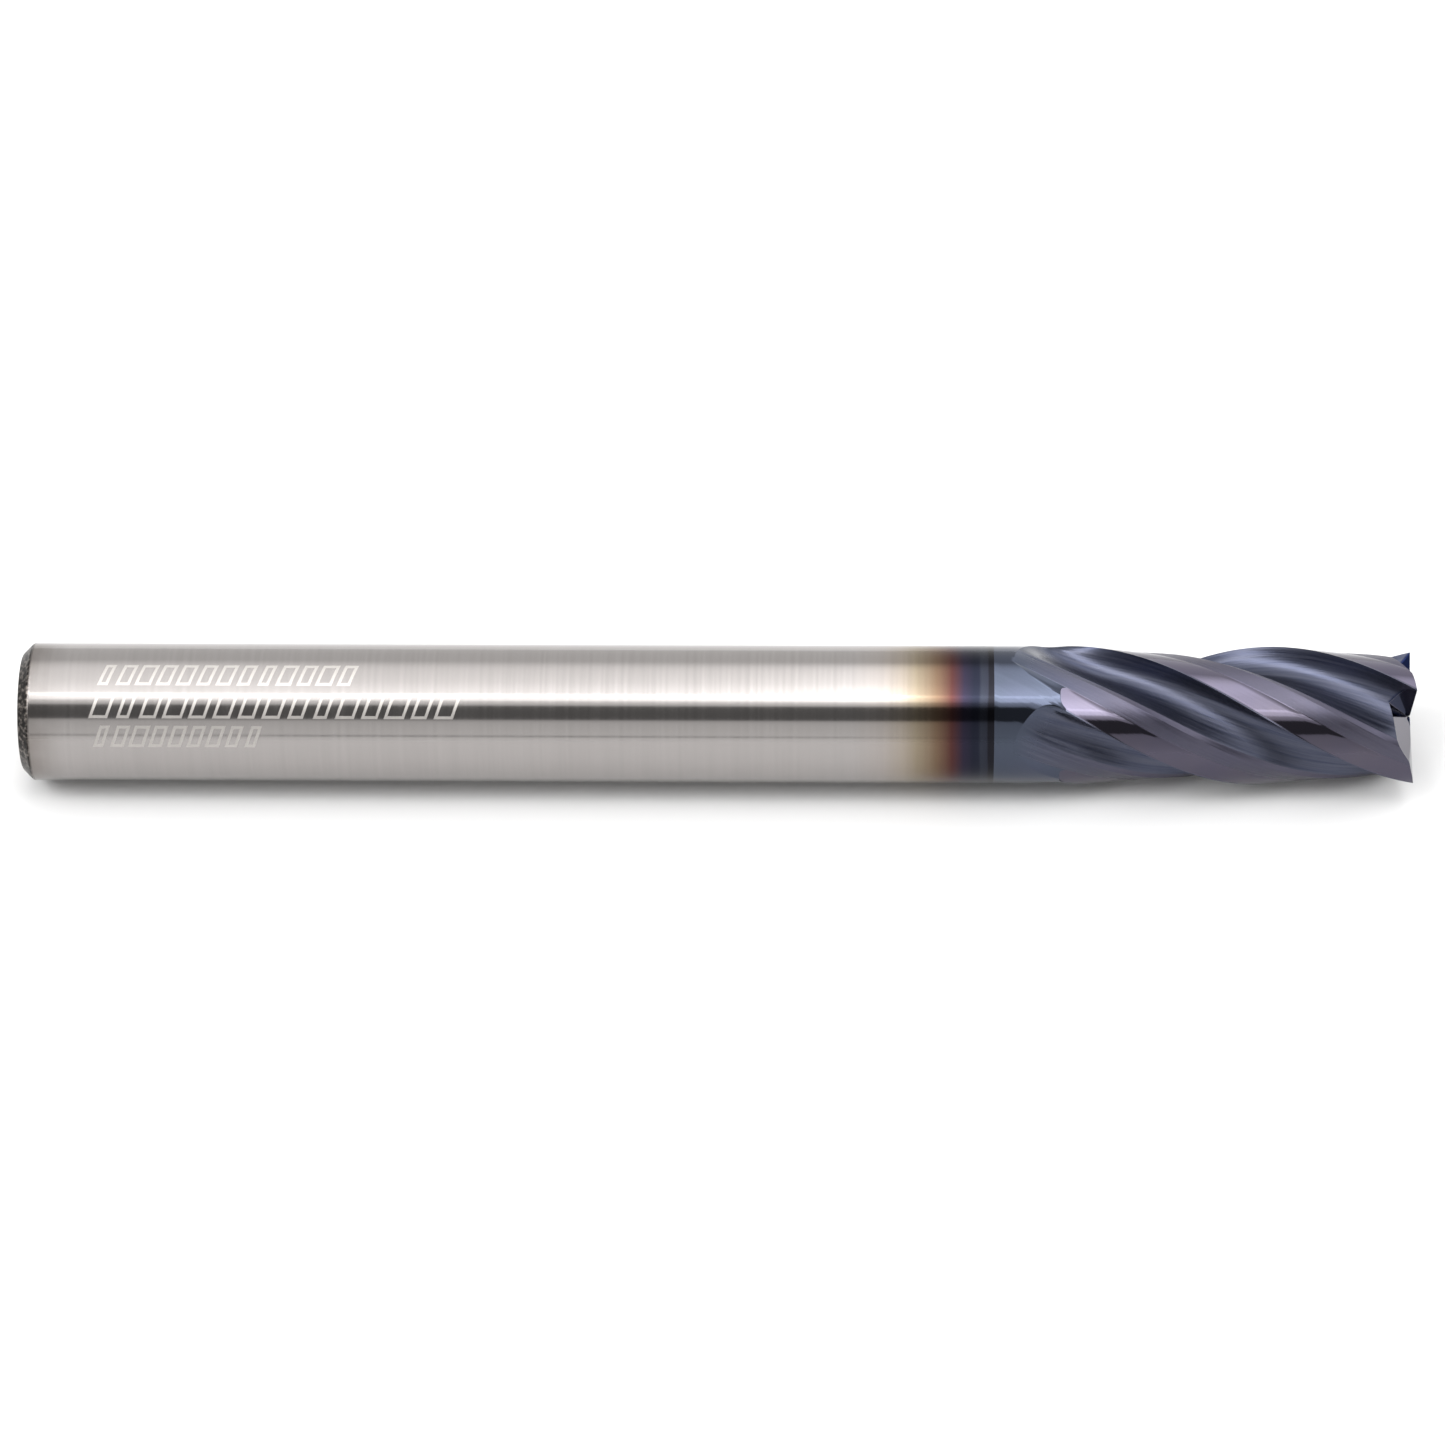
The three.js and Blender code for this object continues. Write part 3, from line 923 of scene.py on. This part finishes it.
# %% Paint the dome
def add_brightness(tree, half_turn, lights):
    """The brightness at a height, which goes from nought at 0 degrees to one at 180."""
    stops = [(angle / 180, light / RAMP_TOP) for angle, light in lights]
    return add(tree, "ValToRGB", {0: half_turn}, stops=stops)[0]


def add_gain(tree, sideways, gains):
    stops = [((slope - SLOPES[0]) / (SLOPES[1] - SLOPES[0]), gain / RAMP_TOP) for slope, gain in gains]
    return add(tree, "ValToRGB", {0: sideways}, stops=stops)[0]


def make_dome():
    world = bpy.data.worlds.new("white_tent")
    world.use_nodes = True
    tree = world.node_tree
    tree.nodes.clear()
    direction = add(tree, "SeparateXYZ", {0: add(tree, "TexCoord", {})["Generated"]})
    height = add(tree, "Math", {0: direction["Z"], 1: direction["Y"]}, operation="ARCTAN2")[0]
    half_turn = add(tree, "Math", {0: height, 1: math.pi}, operation="DIVIDE")[0]
    across = add(tree, "CombineXYZ", {1: direction["Y"], 2: direction["Z"]})[0]
    reach = add(tree, "VectorMath", {0: across}, operation="LENGTH")["Value"]
    slope = add(tree, "Math", {0: direction["X"], 1: reach}, operation="DIVIDE")[0]
    sideways = add(tree, "MapRange", {0: slope, 1: SLOPES[0], 2: SLOPES[1]})[0]
    room, tubes = (add_brightness(tree, half_turn, lights) for lights in (ROOM, TUBES))
    total = add(tree, "VectorMath", {0: room, 1: tubes}, operation="ADD")[0]
    for lights, gains, operation in (
        (SHADE, SHADE_GAIN, "SUBTRACT"),
        (SOFTBOX, SOFTBOX_GAIN, "ADD"),
        (KEY_LAMP, KEY_LAMP_GAIN, "ADD"),
        (WINDOW, WINDOW_GAIN, "ADD"),
    ):
        light, gain = add_brightness(tree, half_turn, lights), add_gain(tree, sideways, gains)
        light = add(tree, "VectorMath", {0: light, 1: gain}, operation="MULTIPLY")[0]
        light = add(tree, "VectorMath", {0: light, "Scale": RAMP_TOP}, operation="SCALE")[0]
        total = add(tree, "VectorMath", {0: total, 1: light}, operation=operation)[0]
    background = add(tree, "Background", {"Color": total, "Strength": RAMP_TOP * EXPOSURE})
    add(tree, "OutputWorld", {"Surface": background[0]})
    return world


bpy.context.scene.world = make_dome()
bpy.context.scene.view_settings.view_transform = "Standard"
print(f"{bpy.context.scene.world.name}: {len(bpy.context.scene.world.node_tree.nodes)} nodes")

# %% [markdown]
# ## Hand over
#
# The two skins ride on the tool's one body and take the places of its packed zones.

# %% Finish
for piece, slot, nodes in [
    (shank, "ground_carbide", ["shank"]),
    (cutting_end, "coated_carbide", ["neck", "fluted_body", "end_teeth"]),
]:
    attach(piece, "root")
    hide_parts(*nodes)
